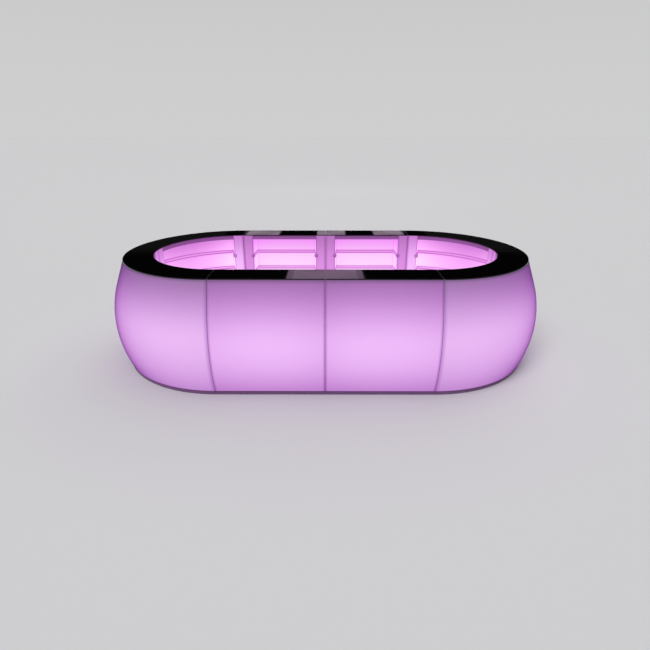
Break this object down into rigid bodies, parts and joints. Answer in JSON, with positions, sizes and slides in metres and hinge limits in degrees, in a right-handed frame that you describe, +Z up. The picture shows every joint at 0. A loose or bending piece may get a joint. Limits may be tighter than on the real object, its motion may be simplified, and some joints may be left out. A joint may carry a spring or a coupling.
{
  "type": "illuminated bar counter",
  "caption": "Free-standing oval bar counter of glowing barrel-fronted modules with black tops, storage recesses facing the service side and a low steel base.",
  "frame": {"origin": "on the floor, at the middle of the ring", "axes": "+X along the ring's long side, +Z up; the long front faces -Y"},
  "size_m": [4.5138, 2.4738, 1.1],
  "materials": {
    "glowing_shell": "satin translucent polyethylene, lit from inside",
    "black_top": "polished black laminate",
    "base_steel": "satin greyish purple powder coat",
    "lamp_opal": "opal diffuser",
    "zinc_bolt": "zinc plated",
    "zinc_foot": "zinc plated"
  },
  "bodies": {
    "counter": {"shell_front_left": "glowing_shell", "top_front_left": "black_top", "base_front_left": "base_steel", "lamp_front_left": "lamp_opal", "bolt_front_left": "zinc_bolt", "shell_corner_front_left": "glowing_shell", "top_corner_front_left": "black_top", "base_corner_front_left": "base_steel", "lamp_corner_front_left": "lamp_opal", "bolt_corner_front_left": "zinc_bolt", "shell_corner_back_left": "glowing_shell", "top_corner_back_left": "black_top", "base_corner_back_left": "base_steel", "lamp_corner_back_left": "lamp_opal", "bolt_corner_back_left": "zinc_bolt", "shell_back_left": "glowing_shell", "top_back_left": "black_top", "base_back_left": "base_steel", "lamp_back_left": "lamp_opal", "bolt_back_left": "zinc_bolt", "shell_back_right": "glowing_shell", "top_back_right": "black_top", "base_back_right": "base_steel", "lamp_back_right": "lamp_opal", "bolt_back_right": "zinc_bolt", "shell_corner_back_right": "glowing_shell", "top_corner_back_right": "black_top", "base_corner_back_right": "base_steel", "lamp_corner_back_right": "lamp_opal", "bolt_corner_back_right": "zinc_bolt", "shell_corner_front_right": "glowing_shell", "top_corner_front_right": "black_top", "base_corner_front_right": "base_steel", "lamp_corner_front_right": "lamp_opal", "bolt_corner_front_right": "zinc_bolt", "shell_front_right": "glowing_shell", "top_front_right": "black_top", "base_front_right": "base_steel", "lamp_front_right": "lamp_opal", "bolt_front_right": "zinc_bolt"},
    "foot_front_left_inner_body": {"foot_front_left_inner": "zinc_foot"},
    "foot_front_left_outer_body": {"foot_front_left_outer": "zinc_foot"},
    "foot_corner_front_left_inner_body": {"foot_corner_front_left_inner": "zinc_foot"},
    "foot_corner_front_left_outer_body": {"foot_corner_front_left_outer": "zinc_foot"},
    "foot_corner_back_left_inner_body": {"foot_corner_back_left_inner": "zinc_foot"},
    "foot_corner_back_left_outer_body": {"foot_corner_back_left_outer": "zinc_foot"},
    "foot_back_left_inner_body": {"foot_back_left_inner": "zinc_foot"},
    "foot_back_left_outer_body": {"foot_back_left_outer": "zinc_foot"},
    "foot_back_right_inner_body": {"foot_back_right_inner": "zinc_foot"},
    "foot_back_right_outer_body": {"foot_back_right_outer": "zinc_foot"},
    "foot_corner_back_right_inner_body": {"foot_corner_back_right_inner": "zinc_foot"},
    "foot_corner_back_right_outer_body": {"foot_corner_back_right_outer": "zinc_foot"},
    "foot_corner_front_right_inner_body": {"foot_corner_front_right_inner": "zinc_foot"},
    "foot_corner_front_right_outer_body": {"foot_corner_front_right_outer": "zinc_foot"},
    "foot_front_right_inner_body": {"foot_front_right_inner": "zinc_foot"},
    "foot_front_right_outer_body": {"foot_front_right_outer": "zinc_foot"}
  },
  "joints": [
    {"name": "level_front_left_inner", "type": "slide", "parent": "counter", "child": "foot_front_left_inner_body", "axis": [0, 0, -1], "range_m": [0, 0.015]},
    {"name": "level_front_left_outer", "type": "slide", "parent": "counter", "child": "foot_front_left_outer_body", "axis": [0, 0, -1], "range_m": [0, 0.015]},
    {"name": "level_corner_front_left_inner", "type": "slide", "parent": "counter", "child": "foot_corner_front_left_inner_body", "axis": [0, 0, -1], "range_m": [0, 0.015]},
    {"name": "level_corner_front_left_outer", "type": "slide", "parent": "counter", "child": "foot_corner_front_left_outer_body", "axis": [0, 0, -1], "range_m": [0, 0.015]},
    {"name": "level_corner_back_left_inner", "type": "slide", "parent": "counter", "child": "foot_corner_back_left_inner_body", "axis": [0, 0, -1], "range_m": [0, 0.015]},
    {"name": "level_corner_back_left_outer", "type": "slide", "parent": "counter", "child": "foot_corner_back_left_outer_body", "axis": [0, 0, -1], "range_m": [0, 0.015]},
    {"name": "level_back_left_inner", "type": "slide", "parent": "counter", "child": "foot_back_left_inner_body", "axis": [0, 0, -1], "range_m": [0, 0.015]},
    {"name": "level_back_left_outer", "type": "slide", "parent": "counter", "child": "foot_back_left_outer_body", "axis": [0, 0, -1], "range_m": [0, 0.015]},
    {"name": "level_back_right_inner", "type": "slide", "parent": "counter", "child": "foot_back_right_inner_body", "axis": [0, 0, -1], "range_m": [0, 0.015]},
    {"name": "level_back_right_outer", "type": "slide", "parent": "counter", "child": "foot_back_right_outer_body", "axis": [0, 0, -1], "range_m": [0, 0.015]},
    {"name": "level_corner_back_right_inner", "type": "slide", "parent": "counter", "child": "foot_corner_back_right_inner_body", "axis": [0, 0, -1], "range_m": [0, 0.015]},
    {"name": "level_corner_back_right_outer", "type": "slide", "parent": "counter", "child": "foot_corner_back_right_outer_body", "axis": [0, 0, -1], "range_m": [0, 0.015]},
    {"name": "level_corner_front_right_inner", "type": "slide", "parent": "counter", "child": "foot_corner_front_right_inner_body", "axis": [0, 0, -1], "range_m": [0, 0.015]},
    {"name": "level_corner_front_right_outer", "type": "slide", "parent": "counter", "child": "foot_corner_front_right_outer_body", "axis": [0, 0, -1], "range_m": [0, 0.015]},
    {"name": "level_front_right_inner", "type": "slide", "parent": "counter", "child": "foot_front_right_inner_body", "axis": [0, 0, -1], "range_m": [0, 0.015]},
    {"name": "level_front_right_outer", "type": "slide", "parent": "counter", "child": "foot_front_right_outer_body", "axis": [0, 0, -1], "range_m": [0, 0.015]}
  ]
}
